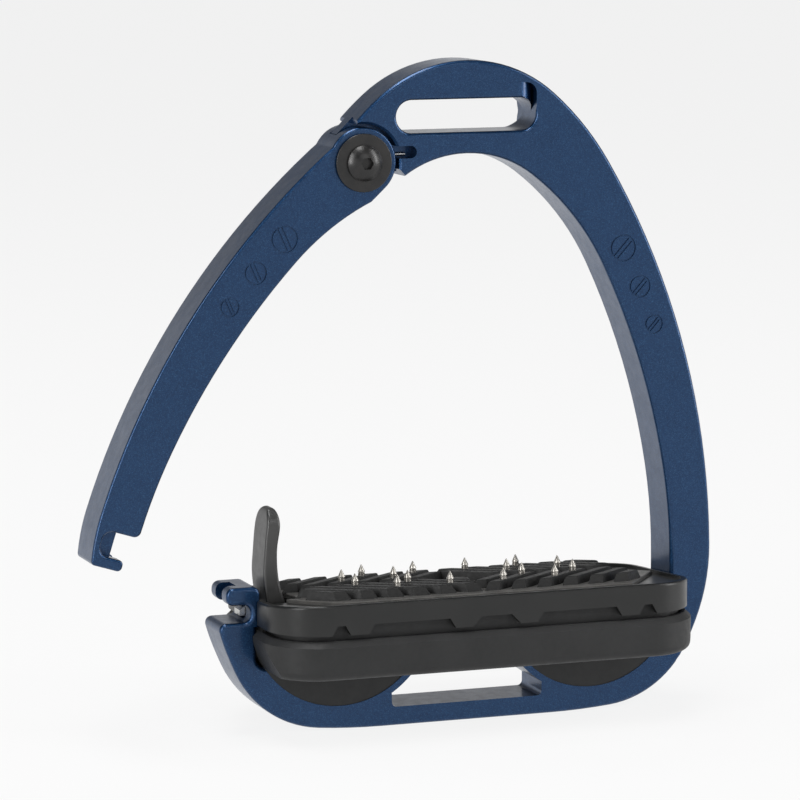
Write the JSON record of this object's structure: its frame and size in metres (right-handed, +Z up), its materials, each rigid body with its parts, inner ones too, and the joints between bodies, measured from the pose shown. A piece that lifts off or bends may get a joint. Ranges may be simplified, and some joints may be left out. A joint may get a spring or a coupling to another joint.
{
  "type": "stirrup iron",
  "caption": "Safety stirrup iron: blue frame with a leather slot, side arm that swings out when its lever is pressed, and a studded, cushioned black tread.",
  "frame": {"origin": "middle of the flat underside of the frame, on its mid-plane", "axes": "+Z up the frame towards the leather slot, X across the foot with the release arm at -X, Y front to back through the foot opening"},
  "size_m": [0.1757, 0.06, 0.1776],
  "materials": {
    "frame_paint": "satin metallic dark blue paint on aluminium",
    "tread_plastic": "satin black moulded plastic",
    "black_plastic": "matt black plastic",
    "rubber": "matt black rubber",
    "black_steel": "black oxide",
    "bright_steel": "bright",
    "stud_steel": "bright nickel",
    "bearing_bronze": "sintered"
  },
  "bodies": {
    "root": {"frame": "frame_paint", "tread_base": "tread_plastic", "base_screws": "black_steel", "cushion_dampers": "rubber", "hinge_bolt": "black_steel", "hinge_barrel": "black_steel", "hinge_washer_front": "black_plastic", "hinge_washer_rear": "black_plastic", "thrust_washers": "bearing_bronze", "torsion_spring": "bright_steel", "lever_pin": "bright_steel", "lever_spring": "bright_steel"},
    "arm": {"release_arm": "frame_paint", "hinge_bush_front": "bearing_bronze", "hinge_bush_rear": "bearing_bronze"},
    "tread": {"tread_rim": "tread_plastic", "grip_pad": "rubber", "grip_studs": "stud_steel", "guide_screws": "black_steel"},
    "lever": {"release_lever": "tread_plastic", "latch_pawl": "bright_steel", "pawl_rivet": "bright_steel"}
  },
  "joints": [
    {"name": "arm_hinge", "type": "hinge", "parent": "root", "child": "arm", "pos_m": [-0.0295, 0, 0.1513], "axis": [0, 1, 0], "range_deg": [-17.5, 0], "stiffness_Nm_per_rad": 0.3, "springref_deg": 28.65, "deforming": ["torsion_spring"]},
    {"name": "lever_pivot", "type": "hinge", "parent": "root", "child": "lever", "pos_m": [-0.054, 0, 0.0236], "axis": [0, 1, 0], "range_deg": [0, 8], "stiffness_Nm_per_rad": 0.1, "springref_deg": -17.19, "deforming": ["lever_spring"]},
    {"name": "tread_press", "type": "slide", "parent": "root", "child": "tread", "axis": [0, 0, -1], "range_m": [0, 0.001], "stiffness_N_per_m": 8000, "springref_m": -0.0003, "deforming": ["cushion_dampers"]}
  ]
}
